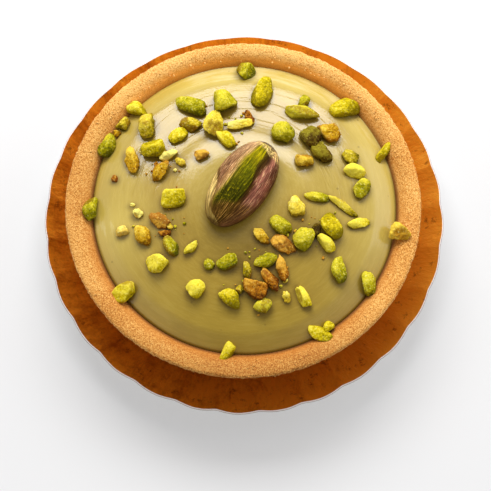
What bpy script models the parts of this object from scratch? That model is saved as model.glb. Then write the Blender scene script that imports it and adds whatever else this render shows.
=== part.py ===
# A single-portion tartlet: a baked pastry shell filled with smooth nut cream, topped with one
# whole kernel and a scatter of chopped nuts, standing in its own shallow fluted foil-lined case.
# Metres, +Z up. The origin is the middle of the case's flat underside, on the table.
import math

import bmesh
import bpy
import numpy as np

MM = 0.001
GAP = 0.3 * MM  # clearance between pieces that touch

# Case: a flat floor, then a low flared wall pressed into flutes.
CASE_THICKNESS = 0.6 * MM
CASE_FLOOR_RADIUS = 27.4 * MM
CASE_BEND_WIDTH = 1.4 * MM
CASE_RIM_RADIUS = 39.5 * MM
CASE_RIM_HEIGHT = 8.2 * MM
FLUTES = 28
FLUTE_DEPTH = 0.36 * MM  # half of crest to valley, at the rim
STEPS_PER_FLUTE = 6
CASE_SPREAD = 0.55 * MM  # how far the rim is bent outwards at its widest bearing
CASE_SPREAD_BEARING = math.radians(50)

# Crust: a turned shell with a tapered side, a crisp outer edge, a broad flat crown and a roll
# down to the cream. The hollow isn't quite in the middle, nor quite round.
CRUST_RADIUS = 35.0 * MM
CRUST_FOOT_RADIUS = 27.4 * MM
CRUST_BOTTOM = CASE_THICKNESS + GAP
CRUST_EDGE_HEIGHT = 17.0 * MM
CROWN_HEIGHT = 17.7 * MM
CROWN_RADIUS = 34.2 * MM  # where the crown is highest
CRUST_FLOOR = 4.1 * MM
CRUST_PRESSED_IN = 0.45 * MM  # at the back, where the outside isn't quite round
HOLLOW_SHIFT = (0.30 * MM, 0.45 * MM)
HOLLOW_OVAL = 0.15 * MM
CRUST_UNEVEN = 0.12 * MM
TURNED_STEPS = 72

# Cream: fills the shell and domes over it above a steeper shoulder, with a shallow spiral left by
# the palette knife.
CREAM_RADIUS = 29.9 * MM
CREAM_EDGE_HEIGHT = 15.6 * MM
SHOULDER_RADIUS = 26.2 * MM  # inside it the dome, outside it the shoulder
SHOULDER_RISE = 1.1 * MM
DOME_RISE = 4.6 * MM
SPIRAL_PITCH = 6.4 * MM
SPIRAL_DEPTH = 0.1 * MM
DOME_RINGS = 15

# Whole kernel, lying across the middle and pressed a third of its height into the cream.
KERNEL_LENGTH = 19.6 * MM
KERNEL_WIDTH = 10.9 * MM
KERNEL_HEIGHT = 9.4 * MM
KERNEL_PLACE = (-0.3 * MM, 2.8 * MM)
KERNEL_TURN = math.radians(56)
KERNEL_SUNK = 3.3 * MM

# Chopped nuts as they were scattered: x, y, length, width in millimetres, and turn in degrees.
NUT_HEIGHT_SHARE = 0.82  # of its width
NUT_SUNK_SHARE = 0.26  # of its height
NUTS_ON_CREAM = (
    # back left
    (-19.0, 16.0, 5.0, 4.0, 80), (-17.5, 11.0, 4.5, 4.0, 5), (-22.0, 9.0, 5.5, 3.0, -60),
    (-16.0, 6.5, 4.0, 3.0, 60), (-14.5, 9.5, 3.5, 2.5, 15), (-12.5, 8.5, 2.0, 1.5, -50),
    (-12.5, 14.0, 4.0, 2.5, 30), (-10.0, 16.0, 4.5, 2.5, -15), (-10.0, 20.5, 6.5, 3.5, -30),
    (-8.0, 9.5, 3.0, 2.5, -10), (-4.0, 20.5, 5.0, 4.5, -20), (-6.0, 16.0, 6.0, 3.5, 75),
    (-3.5, 13.0, 4.5, 2.5, -50), (-0.5, 16.0, 5.0, 2.5, 10), (1.5, 18.0, 2.5, 2.0, -60),
    (0.5, 27.8, 4.0, 3.5, 0),
    # back right
    (3.5, 23.0, 6.5, 4.0, 80), (11.5, 19.0, 6.5, 3.5, -15), (12.0, 21.5, 3.0, 2.5, 60),
    (8.0, 14.0, 4.5, 4.0, -25), (12.0, 8.5, 3.5, 3.0, -30), (14.5, 12.0, 7.5, 3.5, -55),
    (17.0, 15.0, 5.0, 3.5, -45), (19.5, 20.0, 6.0, 4.0, 25), (21.0, 10.0, 3.0, 2.5, -40),
    (21.5, 6.5, 4.0, 2.5, -15), (23.0, 3.0, 4.0, 3.0, 80),
    # left
    (-13.5, 0.5, 5.0, 4.0, 10), (-21.0, -2.5, 2.0, 2.0, 0), (-16.0, -4.0, 4.0, 2.5, -35),
    (-23.5, -5.5, 2.0, 2.0, 0), (-19.5, -6.5, 4.0, 2.5, -60), (-14.0, -9.0, 4.0, 2.5, -60),
    (-16.5, -12.0, 4.5, 4.0, 30), (-10.5, -9.5, 3.5, 2.0, 60), (-9.5, -18.0, 4.0, 3.0, 40),
    (-22.3, -16.5, 5.0, 3.5, 20),
    # right
    (14.5, 1.0, 5.0, 2.0, -5), (19.5, -0.5, 6.0, 2.0, -35), (10.5, -1.5, 4.5, 3.0, -75),
    (7.0, -5.0, 4.5, 3.5, -20), (12.0, -7.5, 5.0, 4.0, 80), (14.5, -6.0, 2.5, 2.0, 80),
    (17.5, -5.0, 5.5, 4.0, -80), (16.0, -8.5, 4.5, 3.0, -50), (3.5, -7.5, 4.0, 2.0, -40),
    (8.0, -9.0, 5.0, 2.5, -25), (22.5, -4.0, 4.5, 2.0, 10), (18.5, -14.0, 5.0, 3.0, 85),
    (23.6, -14.8, 4.5, 3.0, -80),
    # front
    (4.5, -12.0, 4.0, 2.5, 25), (7.5, -13.5, 5.0, 2.0, -75), (5.5, -16.0, 5.0, 2.5, -50),
    (2.5, -18.0, 5.5, 3.5, -40), (0.5, -14.5, 3.5, 1.5, -80), (-3.0, -12.5, 4.5, 3.0, 10),
    (-6.5, -13.0, 2.0, 2.0, 0), (-2.5, -19.5, 5.0, 3.0, -45), (4.0, -21.0, 3.5, 3.0, 0),
    (8.5, -19.5, 2.5, 1.5, -75), (11.5, -19.0, 5.5, 2.0, -60), (-2.8, -27.5, 4.5, 2.0, 60),
    (14.5, -24.0, 5.0, 2.5, -30), (16.3, -22.9, 2.5, 2.0, 60),
)
RIM_NUT_RADIUS = 31.6 * MM  # those that rest on the crust, at its inner edge
RIM_NUTS = (  # bearing in degrees round the rim, then length, width and turn
    (135.5, 4.5, 3.0, -35), (144.0, 3.0, 2.5, 60), (154.5, 4.5, 3.5, 75), (180.0, 4.5, 3.5, 90),
    (-10.5, 4.0, 4.0, 0), (22.5, 4.5, 2.0, 60),
)
NUT_MEAN_REACH = 0.88  # how far the cut ball reaches on average, so that a nut keeps its size
NUT_SIDES = 7
NUT_ROWS = 4

FINISHES = {  # base colour, roughness, metallic
    "case": ((0.55, 0.25, 0.06), 0.38, 0.8),
    "crust": ((0.72, 0.42, 0.18), 0.85, 0.0),
    "cream": ((0.46, 0.33, 0.08), 0.3, 0.0),
    "pistachio": ((0.32, 0.22, 0.10), 0.55, 0.0),
}


def clear_scene():
    for thing in list(bpy.data.objects):
        bpy.data.objects.remove(thing)


def finish(name):
    colour, roughness, metallic = FINISHES[name]
    material = bpy.data.materials.new(name)
    material.use_nodes = True
    shader = material.node_tree.nodes["Principled BSDF"]
    shader.inputs["Base Color"].default_value = (*colour, 1.0)
    shader.inputs["Roughness"].default_value = roughness
    shader.inputs["Metallic"].default_value = metallic
    return material


def closed_object(name, rings):
    """One closed mesh from rings of points; a ring of one point is a pole."""
    bm = bmesh.new()
    loops = [[bm.verts.new(point) for point in ring] for ring in rings]
    for low, high in zip(loops, loops[1:]):
        count = max(len(low), len(high))
        for i in range(count):
            j = (i + 1) % count
            if len(low) == 1:
                bm.faces.new((low[0], high[i], high[j]))
            elif len(high) == 1:
                bm.faces.new((low[i], high[0], low[j]))
            else:
                bm.faces.new((low[i], high[i], high[j], low[j]))
    bmesh.ops.recalc_face_normals(bm, faces=bm.faces)
    mesh = bpy.data.meshes.new(name)
    bm.to_mesh(mesh)
    bm.free()
    thing = bpy.data.objects.new(name, mesh)
    bpy.context.scene.collection.objects.link(thing)
    return thing


def dress(thing, sharp_degrees=35):
    thing.data.materials.clear()
    thing.data.materials.append(finish(thing.name))
    thing.data.shade_smooth()
    thing.data.set_sharp_from_angle(angle=math.radians(sharp_degrees))


def apply_boolean(target, operation, other=None, collection=None):
    """Cut or join for good, with the EXACT solver."""
    step = target.modifiers.new(operation.lower(), "BOOLEAN")
    step.operation = operation
    step.solver = "EXACT"
    if collection:
        step.operand_type = "COLLECTION"
        step.collection = collection
    else:
        step.object = other
    evaluated = target.evaluated_get(bpy.context.evaluated_depsgraph_get())
    joined = bpy.data.meshes.new_from_object(evaluated)
    target.modifiers.clear()
    target.data = joined


def ring_at(radius, height, bearings):
    """A ring of points; radius and height may each be a number or an array over the bearings."""
    radius = np.broadcast_to(radius, bearings.shape)
    height = np.broadcast_to(height, bearings.shape)
    return np.stack([radius * np.cos(bearings), radius * np.sin(bearings), height], axis=1)


def pole(height):
    return np.array([[0.0, 0.0, height]])


def case_ring(along, offset, bearings):
    """A ring of the wall, at a share of the way from its foot to its rim, moved off its mid-face."""
    foot = CASE_FLOOR_RADIUS + CASE_BEND_WIDTH
    foot_height = 0.5 * CASE_THICKNESS + 0.35 * MM
    rim_height = CASE_RIM_HEIGHT - 0.5 * CASE_THICKNESS
    run, rise = CASE_RIM_RADIUS - foot, rim_height - foot_height
    slope = math.atan2(rise, run)
    away = offset + FLUTE_DEPTH * along * np.cos(FLUTES * bearings)
    spread = CASE_SPREAD * along * np.clip(np.cos(bearings - CASE_SPREAD_BEARING), 0.0, 1.0)
    radius = foot + run * along + away * math.sin(slope) + spread
    height = foot_height + rise * along - away * math.cos(slope)
    return ring_at(radius, height, bearings)


def make_case():
    bearings = np.linspace(0.0, math.tau, FLUTES * STEPS_PER_FLUTE, endpoint=False)
    half = 0.5 * CASE_THICKNESS
    up_the_wall = (0.0, 0.34, 0.67, 1.0)
    inside = [case_ring(along, -half, bearings) for along in up_the_wall]
    outside = [case_ring(along, half, bearings) for along in reversed(up_the_wall)]
    floor = ring_at(CASE_FLOOR_RADIUS, CASE_THICKNESS, bearings)
    base = ring_at(CASE_FLOOR_RADIUS, 0.0, bearings)
    case = closed_object("case", [pole(CASE_THICKNESS), floor, *inside, *outside, base, pole(0.0)])
    dress(case)
    return case


def uneven(bearings, seed):
    """Slow seeded waves round the rim, between about -1 and 1, the same at both ends."""
    draw = np.random.default_rng(seed)
    wave = np.zeros_like(bearings)
    for lobes in (2, 3, 5, 8, 13):
        wave += draw.normal(0.0, 1.0 / lobes**0.5) * np.cos(lobes * bearings + draw.uniform(0, math.tau))
    return wave / np.abs(wave).max()


def hollow_shift(bearings):
    """How far the hollow's wall stands off its own circle: moved sideways, and slightly oval."""
    along, across = HOLLOW_SHIFT
    return along * np.cos(bearings) + across * np.sin(bearings) - HOLLOW_OVAL * np.cos(2 * bearings)


def pressed_in(bearings):
    """How far the crust's outside stands in from its circle, at the back only."""
    return CRUST_PRESSED_IN * np.clip(np.sin(bearings), 0.0, 1.0) ** 1.5


def roll_height(share):
    """Height of the roll, from the crown (0) down to the cream's edge (1)."""
    return CROWN_HEIGHT - (CROWN_HEIGHT - CREAM_EDGE_HEIGHT) * share**2.2


def crown_rings(bearings, ripple):
    """A superellipse from the crisp outer edge to the crown, then a roll down to the cream."""
    rings = []
    crown = CROWN_RADIUS - pressed_in(bearings)
    for turn in np.radians((0, 18, 38, 60, 82)):
        radius = crown + (CRUST_RADIUS - CROWN_RADIUS) * math.cos(turn) ** 0.7
        height = CRUST_EDGE_HEIGHT + (CROWN_HEIGHT - CRUST_EDGE_HEIGHT) * math.sin(turn) ** 0.8
        rings.append(ring_at(radius + 0.6 * ripple, height + ripple, bearings))
    hollow = CREAM_RADIUS + GAP + hollow_shift(bearings)
    for share in (0.25, 0.5, 0.7, 0.86):
        radius = crown + (hollow - crown) * share
        rings.append(ring_at(radius, roll_height(share) + ripple * (1 - share), bearings))
    return rings


def make_crust():
    bearings = np.linspace(0.0, math.tau, TURNED_STEPS, endpoint=False)
    ripple = CRUST_UNEVEN * uneven(bearings, seed=4)
    rings = [pole(CRUST_BOTTOM)]
    rings.append(ring_at(CRUST_FOOT_RADIUS - 0.9 * MM, CRUST_BOTTOM, bearings))
    rings.append(ring_at(CRUST_FOOT_RADIUS, CRUST_BOTTOM + 0.7 * MM, bearings))
    shoulder = CRUST_RADIUS - 0.3 * MM - pressed_in(bearings)
    rings.append(ring_at(shoulder, CRUST_EDGE_HEIGHT - 0.8 * MM, bearings))
    rings += crown_rings(bearings, ripple)
    for radius, height in inner_wall(0.0):
        rings.append(ring_at(radius + hollow_shift(bearings), height, bearings))
    rings.append(pole(CRUST_BOTTOM + CRUST_FLOOR))
    crust = closed_object("crust", rings)
    fuse(crust, rim_nut_objects())
    dress(crust)
    return crust


def inner_wall(clearance):
    """The hollow's wall from the cream's edge down to its floor, moved in by a clearance."""
    edge = CREAM_RADIUS + GAP - clearance
    floor = CRUST_BOTTOM + CRUST_FLOOR + clearance
    return [
        (edge, CREAM_EDGE_HEIGHT),
        (edge - 1.6 * MM, 11.5 * MM),
        (edge - 3.5 * MM, floor + 1.2 * MM),
        (edge - 4.8 * MM, floor),
    ]


def cream_height(x, y):
    """A shallow dome on a shoulder, with a spiral ripple that fades at the middle and at the edge."""
    radius = np.hypot(x, y)
    share = radius / CREAM_RADIUS
    bearing = np.arctan2(y, x)
    shoulder = SHOULDER_RISE * np.clip((CREAM_RADIUS - radius) / (CREAM_RADIUS - SHOULDER_RADIUS), 0.0, 1.0)
    dome = CREAM_EDGE_HEIGHT + shoulder + DOME_RISE * (1.0 - share**2.2)
    fade = np.clip(share * 3.0, 0.0, 1.0) * np.clip((1.0 - share) * 8.0, 0.0, 1.0)
    return dome + SPIRAL_DEPTH * fade * np.cos(math.tau * radius / SPIRAL_PITCH + bearing)


def cream_normal(x, y):
    step = 0.2 * MM
    slope_x = (cream_height(x + step, y) - cream_height(x - step, y)) / (2 * step)
    slope_y = (cream_height(x, y + step) - cream_height(x, y - step)) / (2 * step)
    normal = np.array([-slope_x, -slope_y, 1.0])
    return normal / np.linalg.norm(normal)


def make_cream():
    bearings = np.linspace(0.0, math.tau, TURNED_STEPS, endpoint=False)
    rings = [pole(CRUST_BOTTOM + CRUST_FLOOR + GAP)]
    for radius, height in reversed(inner_wall(GAP)):
        rings.append(ring_at(radius + hollow_shift(bearings), height, bearings))
    dome_shares = np.linspace(SHOULDER_RADIUS / CREAM_RADIUS, 0.0, DOME_RINGS)[:-1]
    for share in (0.99, 0.94, *dome_shares):
        radius = (CREAM_RADIUS + hollow_shift(bearings)) * share
        height = cream_height(radius * np.cos(bearings), radius * np.sin(bearings))
        rings.append(ring_at(radius, height, bearings))
    rings.append(pole(float(cream_height(0.0, 0.0))))
    cream = closed_object("cream", rings)
    hollow = kernel_object("kernel_hollow", GAP)
    apply_boolean(cream, "DIFFERENCE", other=hollow)
    bpy.data.objects.remove(hollow)
    fuse(cream, cream_nut_objects())
    dress(cream)
    return cream


def nut_object(index, length, width, turn, place, normal):
    """A chopped piece: a ball cut back by a few seeded planes, stretched, turned and laid down."""
    draw = np.random.default_rng(1000 + index)
    cuts = draw.normal(size=(9, 3))
    cuts /= np.linalg.norm(cuts, axis=1)[:, None]
    depths = draw.uniform(0.70, 1.0, size=9)
    bearings = np.linspace(0.0, math.tau, NUT_SIDES, endpoint=False) + draw.uniform(0, math.tau)
    height = NUT_HEIGHT_SHARE * width
    lengthways = np.array([math.cos(turn), math.sin(turn), 0.0])
    lengthways -= normal * (lengthways @ normal)
    lengthways /= np.linalg.norm(lengthways)
    axes = np.stack([lengthways * length, np.cross(normal, lengthways) * width, normal * height])
    centre = np.array(place) + normal * height * (0.5 - NUT_SUNK_SHARE)
    rings = []
    for polar in np.linspace(0.0, math.pi, NUT_ROWS + 1):
        around = bearings[:1] if polar in (0.0, math.pi) else bearings
        ball = np.stack([np.sin(polar) * np.cos(around), np.sin(polar) * np.sin(around),
                         np.full(around.shape, np.cos(polar))], axis=1)
        reach = np.maximum(ball @ cuts.T, 1e-6)
        radius = np.minimum(1.0, (depths / reach).min(axis=1)) / NUT_MEAN_REACH
        rings.append(centre + 0.5 * (ball * radius[:, None]) @ axes)
    return closed_object(f"nut_{index:02d}", rings)


def cream_nut_objects():
    nuts = []
    for index, (x, y, length, width, turn) in enumerate(NUTS_ON_CREAM):
        x, y = x * MM, y * MM
        place = (x, y, float(cream_height(x, y)))
        nuts.append(nut_object(index, length * MM, width * MM, math.radians(turn), place, cream_normal(x, y)))
    return nuts


def rim_nut_objects():
    nuts = []
    level = roll_height((CROWN_RADIUS - RIM_NUT_RADIUS) / (CROWN_RADIUS - CREAM_RADIUS))
    for index, (bearing, length, width, turn) in enumerate(RIM_NUTS):
        bearing = math.radians(bearing)
        place = (RIM_NUT_RADIUS * math.cos(bearing), RIM_NUT_RADIUS * math.sin(bearing), level)
        up = np.array([0.0, 0.0, 1.0])
        nuts.append(nut_object(100 + index, length * MM, width * MM, math.radians(turn), place, up))
    return nuts


def fuse(body, pieces):
    """Join small pieces to what they lie on, by one union on a collection."""
    group = bpy.data.collections.new("to_fuse")
    bpy.context.scene.collection.children.link(group)
    for piece in pieces:
        bpy.context.scene.collection.objects.unlink(piece)
        group.objects.link(piece)
    apply_boolean(body, "UNION", collection=group)
    for piece in pieces:
        bpy.data.objects.remove(piece)
    bpy.data.collections.remove(group)


def kernel_object(name, clearance):
    """A plump kernel, a touch fuller towards its far end, with a low keel."""
    steps, around = 14, 20
    bearings = np.linspace(0.0, math.tau, around, endpoint=False)
    x, y = KERNEL_PLACE
    centre = np.array([x, y, float(cream_height(x, y)) - KERNEL_SUNK + 0.5 * KERNEL_HEIGHT])
    lengthways = np.array([math.cos(KERNEL_TURN), math.sin(KERNEL_TURN), 0.0])
    across = np.array([-math.sin(KERNEL_TURN), math.cos(KERNEL_TURN), 0.0])
    rings = []
    for turn in np.linspace(0.0, math.pi, steps + 1):
        along = -math.cos(turn)  # from -1 at its near end to 1 at its far end
        girth = math.sin(turn) ** 0.92 * (1.0 + 0.03 * along)
        middle = centre + lengthways * along * (0.5 * KERNEL_LENGTH + clearance)
        if turn in (0.0, math.pi):
            rings.append(middle[None, :])
            continue
        keel = 1.0 + 0.05 * np.exp(-((np.abs(bearings - math.pi / 2) / 0.35) ** 2))
        side = (0.5 * KERNEL_WIDTH * girth + clearance) * np.cos(bearings)
        rise = (0.5 * KERNEL_HEIGHT * girth * keel + clearance) * np.sin(bearings)
        rings.append(middle + side[:, None] * across + rise[:, None] * np.array([0.0, 0.0, 1.0]))
    return closed_object(name, rings)


def make_kernel():
    kernel = kernel_object("pistachio", 0.0)
    dress(kernel)
    return kernel


clear_scene()
make_case()
make_crust()
make_cream()
make_kernel()
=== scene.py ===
import math

import bpy
import numpy as np
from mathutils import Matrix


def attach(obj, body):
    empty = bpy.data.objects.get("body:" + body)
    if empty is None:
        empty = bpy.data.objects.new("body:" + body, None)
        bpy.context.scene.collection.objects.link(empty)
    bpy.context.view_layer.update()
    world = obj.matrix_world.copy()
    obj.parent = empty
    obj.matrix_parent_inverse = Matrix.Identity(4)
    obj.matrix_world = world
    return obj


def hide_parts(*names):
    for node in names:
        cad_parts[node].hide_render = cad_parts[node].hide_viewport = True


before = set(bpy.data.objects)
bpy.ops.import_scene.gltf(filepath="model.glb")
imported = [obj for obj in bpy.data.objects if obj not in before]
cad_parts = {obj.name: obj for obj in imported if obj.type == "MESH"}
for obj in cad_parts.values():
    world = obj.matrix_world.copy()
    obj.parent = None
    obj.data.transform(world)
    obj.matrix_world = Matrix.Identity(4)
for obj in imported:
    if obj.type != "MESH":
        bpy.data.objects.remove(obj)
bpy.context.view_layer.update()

mm = 0.001
fullTurn = 2 * math.pi


def latticeNoise(points, cell, seed):
    # Value noise from -1 to 1: hashed numbers at the corners of cubes, blended by 3t^2 - 2t^3.
    flat = points.reshape(-1, 3) / cell
    base = np.floor(flat).astype(np.int64)
    t = flat - base
    t = t * t * (3 - 2 * t)
    total = np.zeros(len(flat))
    for corner in range(8):
        step = np.array([corner & 1, corner >> 1 & 1, corner >> 2 & 1])
        spot = base + step
        key = spot[:, 0] * 73856093 ^ spot[:, 1] * 19349663 ^ spot[:, 2] * 83492791 ^ seed * 40503
        key = (key ^ key >> 13) * 1274126177
        value = ((key ^ key >> 16) & 0xFFFF) / 32767.5 - 1
        total += value * np.prod(np.where(step, t, 1 - t), axis=1)
    return total.reshape(points.shape[:-1])


def fractalNoise(points, cell, seed, octaves=3):
    # Sum of value noises, each half as large and half as strong as the one before.
    return sum(latticeNoise(points, cell / 2**k, seed + k) / 2**k for k in range(octaves)) / 1.6


def smoothStep(low, high, value):
    # 3t^2 - 2t^3 of how far the value is from low to high.
    t = np.clip((value - low) / (high - low), 0, 1)
    return t * t * (3 - 2 * t)


def ringPoints(radius, height, bearing):
    # Points (radius cos, radius sin, height) for every bearing, whatever the arrays' common shape.
    radius, height, bearing = np.broadcast_arrays(radius, height, bearing)
    return np.stack([radius * np.cos(bearing), radius * np.sin(bearing), height], axis=-1)


def bearings(count):
    return np.linspace(0, fullTurn, count, endpoint=False)


def bell(value):
    # exp(-value^2)
    return np.exp(-(value**2))


def gridNormals(rings):
    # Cross product of the two directions of a grid that closes on itself sideways.
    down = np.gradient(rings, axis=0)
    around = np.roll(rings, -1, axis=1) - np.roll(rings, 1, axis=1)
    normal = np.cross(around, down)
    return normal / np.maximum(np.linalg.norm(normal, axis=2, keepdims=True), 1e-12)


def ringFaces(rows, columns, start=0):
    # Corners of the quads between neighbouring rings and of the fans to the two poles that follow them.
    index = start + np.arange(rows * columns).reshape(rows, columns)
    beside = np.roll(index, -1, axis=1)
    quads = np.stack([index[:-1], beside[:-1], beside[1:], index[1:]], axis=-1).reshape(-1, 4)
    pole = start + rows * columns
    first = np.stack([np.full(columns, pole), beside[0], index[0]], axis=-1)
    last = np.stack([np.full(columns, pole + 1), index[-1], beside[-1]], axis=-1)
    return quads, np.concatenate([first, last])


def linkObject(name, data):
    thing = bpy.data.objects.new(name, data)
    bpy.context.scene.collection.objects.link(thing)
    return thing


def meshPiece(name, points, quads, triangles, values):
    # Puts arrays into a mesh; a closed shape whose signed volume is negative has its faces turned.
    corners = np.concatenate([triangles, quads[:, [0, 1, 2]], quads[:, [0, 2, 3]]])
    a, b, c = (points[corners[:, k]] for k in range(3))
    if np.einsum("ij,ij->i", a, np.cross(b, c)).sum() < 0:
        quads, triangles = quads[:, ::-1], triangles[:, ::-1]
    mesh = bpy.data.meshes.new(name)
    mesh.vertices.add(len(points))
    mesh.vertices.foreach_set("co", points.astype(np.float32).ravel())
    loops = np.concatenate([quads.ravel(), triangles.ravel()]).astype(np.int32)
    mesh.loops.add(len(loops))
    mesh.loops.foreach_set("vertex_index", loops)
    starts = np.concatenate([np.arange(len(quads)) * 4, 4 * len(quads) + np.arange(len(triangles)) * 3])
    mesh.polygons.add(len(starts))
    mesh.polygons.foreach_set("loop_start", starts.astype(np.int32))
    for label, array in values.items():
        mesh.attributes.new(label, "FLOAT", "POINT").data.foreach_set("value", array.astype(np.float32))
    mesh.update(calc_edges=True)
    mesh.shade_smooth()
    return linkObject(name, mesh)


def ringPiece(name, rings, firstPole, lastPole, **values):
    # A closed piece from rings of points and a pole at each end; values are attributes on the rings.
    rows, columns = rings.shape[:2]
    points = np.concatenate([rings.reshape(-1, 3), [firstPole], [lastPole]])
    padded = {}
    for label, array in values.items():
        array = np.broadcast_to(array, (rows, columns))
        padded[label] = np.concatenate([array.ravel(), [array[0].mean(), array[-1].mean()]])
    return meshPiece(name, points, *ringFaces(rows, columns), padded)


def dressPiece(piece, material, slot, *nodes):
    piece.data.materials.append(material)
    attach(piece, "root")
    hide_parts(*nodes)
    print("made", piece.name, len(piece.data.polygons), "faces")


# Shader helpers.
def addNode(tree, kind, inputs=(), **settings):
    # One shader node; inputs are (socket, value or output to link) pairs.
    node = tree.nodes.new("ShaderNode" + kind)
    for name, value in settings.items():
        setattr(node, name, value)
    for socket, value in inputs:
        if isinstance(value, bpy.types.NodeSocket):
            tree.links.new(value, node.inputs[socket])
        else:
            node.inputs[socket].default_value = value
    return node


def ownTree(*values):
    # The node tree of the first of the values that is a node's output.
    return next(value.id_data for value in values if isinstance(value, bpy.types.NodeSocket))


def rampNode(source, stops):
    # Colour ramp from (place, colour) stops; a colour that is one number is a grey.
    ramp = addNode(ownTree(source), "ValToRGB", [(0, source)])
    while len(ramp.color_ramp.elements) < len(stops):
        ramp.color_ramp.elements.new(0.5)
    for element, (place, colour) in zip(ramp.color_ramp.elements, stops):
        element.position = place
        element.color = (colour, colour, colour, 1.0) if isinstance(colour, float) else (*colour, 1.0)
    return ramp.outputs[0]


def mixColour(factor, first, second, mode="MIX"):
    inputs = [(0, factor)]
    for socket, colour in ((6, first), (7, second)):
        inputs.append((socket, (*colour, 1.0) if isinstance(colour, tuple) else colour))
    tree = ownTree(factor, first, second)
    return addNode(tree, "Mix", inputs, data_type="RGBA", blend_type=mode).outputs[2]


def layColours(colour, *layers):
    # Lays layers over a colour one by one, each of them a mask and its own colour.
    for mask, tint in layers:
        colour = mixColour(mask, colour, tint)
    return colour


def calculate(operation, *values, kind="Math", output=0):
    # A math node on numbers, or one on vectors if its kind is VectorMath.
    inputs = list(enumerate(values))
    return addNode(ownTree(*values), kind, inputs, operation=operation).outputs[output]


def plus(first, second):
    return calculate("ADD", first, second)


def minus(first, second):
    return calculate("SUBTRACT", first, second)


def times(first, second):
    return calculate("MULTIPLY", first, second)


def swing(value, amount):
    # (value - 0.5) * amount, which is 0 at a noise's mean.
    return times(minus(value, 0.5), amount)


def blend(share, first, second):
    return addNode(ownTree(first), "Mix", [(0, share), (2, first), (3, second)]).outputs[0]


def spread(value, fromLow, fromHigh, toLow=0.0, toHigh=1.0, steps="SMOOTHSTEP"):
    # Smooth step of a value from one range to another, or a straight one.
    inputs = list(enumerate((value, fromLow, fromHigh, toLow, toHigh)))
    return addNode(ownTree(value), "MapRange", inputs, interpolation_type=steps).outputs[0]


def noiseNode(place, scale, detail=2.0, roughness=0.5):
    inputs = [("Vector", place), ("Scale", scale), ("Detail", detail), ("Roughness", roughness)]
    return addNode(ownTree(place), "TexNoise", inputs).outputs[0]


def attributeNode(tree, name):
    return addNode(tree, "Attribute", attribute_name=name).outputs["Fac"]


def objectPlace(tree):
    return addNode(tree, "TexCoord").outputs["Object"]


def splitPlace(place):
    return addNode(ownTree(place), "SeparateXYZ", [(0, place)]).outputs


def joinPlace(x, y, z):
    return addNode(ownTree(x, y, z), "CombineXYZ", list(enumerate((x, y, z)))).outputs[0]


def polarPlace(tree, reach):
    # Place by radius in units of reach, and by direction, so that a noise on it makes concentric bands.
    flat = calculate("MULTIPLY", objectPlace(tree), (1, 1, 0), kind="VectorMath")
    radius = calculate("LENGTH", flat, kind="VectorMath", output="Value")
    way = calculate("NORMALIZE", flat, kind="VectorMath")
    x, y, _ = splitPlace(way)
    return joinPlace(x, y, calculate("DIVIDE", radius, reach)), radius, way


def socketLabel(name):
    # baseColor becomes Base Color, and Ior becomes IOR.
    label = "".join(" " + letter if letter.isupper() else letter for letter in name).strip().title()
    return label.replace("Ior", "IOR")


def newMaterial(name, **sockets):
    # A Principled material with its constant numbers on the shader's own sockets.
    material = bpy.data.materials.new(name)
    material.use_nodes = True
    shader = material.node_tree.nodes["Principled BSDF"]
    for socket, value in sockets.items():
        shader.inputs[socketLabel(socket)].default_value = value
    return material, material.node_tree, shader


def feedShader(tree, shader, **outputs):
    for socket, output in outputs.items():
        tree.links.new(output, shader.inputs[socketLabel(socket)])


def addBump(height, strength, distance, normal=None):
    inputs = [("Height", height), ("Strength", strength), ("Distance", distance)]
    if normal:
        inputs.append(("Normal", normal))
    return addNode(ownTree(height), "Bump", inputs).outputs[0]


def makeGrainGroup():
    # Dry granular surface: a fine and a coarse noise give a tone about 0 and a bump height.
    group = bpy.data.node_groups.new("granularSurface", "ShaderNodeTree")
    face = group.interface
    face.new_socket("Vector", in_out="INPUT", socket_type="NodeSocketVector")
    numbers = {"Fine Scale": 3000.0, "Coarse Scale": 600.0, "Fine Share": 0.65, "Contrast": 1.0}
    for label, value in numbers.items():
        face.new_socket(label, in_out="INPUT", socket_type="NodeSocketFloat").default_value = value
    for label in ("Tone", "Height"):
        face.new_socket(label, in_out="OUTPUT", socket_type="NodeSocketFloat")
    given = group.nodes.new("NodeGroupInput").outputs
    fine = noiseNode(given["Vector"], given["Fine Scale"], 2.0, 0.6)
    coarse = noiseNode(given["Vector"], given["Coarse Scale"], 3.0, 0.6)
    height = blend(given["Fine Share"], coarse, fine)
    tone = swing(height, given["Contrast"])
    result = group.nodes.new("NodeGroupOutput").inputs
    group.links.new(tone, result["Tone"])
    group.links.new(height, result["Height"])
    return group


grainGroup = makeGrainGroup()


def grainNode(place, **numbers):
    # Places the grain group with its own numbers, and gives its tone and its height.
    node = addNode(ownTree(place), "Group", node_tree=grainGroup)
    node.id_data.links.new(place, node.inputs["Vector"])
    for name, value in numbers.items():
        node.inputs[socketLabel(name)].default_value = value
    return node.outputs["Tone"], node.outputs["Height"]


# Case: copper-gold foil on thin card, pressed into flutes.
case = dict(thickness=0.4 * mm, floorRadius=27.4 * mm, footRadius=28.8 * mm, footRise=0.35 * mm,
            rimRadius=39.4 * mm, rimHeight=7.95 * mm, flutes=28, fluteDepth=0.34 * mm,
            turn=math.radians(-1.5), stepsPerFlute=24, spread=0.55 * mm, spreadBearing=math.radians(50),
            bulge=0.25 * mm, dents=0.05 * mm, rows=dict(floor=8, inside=26, outside=14, under=4),
            foil=(0.90, 0.40, 0.028), foilDeep=(0.46, 0.15, 0.007), foilDark=(0.20, 0.055, 0.004),
            # Next row: a painted sheen for the right side; painted shade on the cut edge's outer corner.
            foilSheen=(0.90, 0.52, 0.06), cutEdge=(0.86, 0.77, 0.72), edgeCornerShade=(0.30, 0.21, 0.16),
            card=(0.80, 0.77, 0.74))


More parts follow.
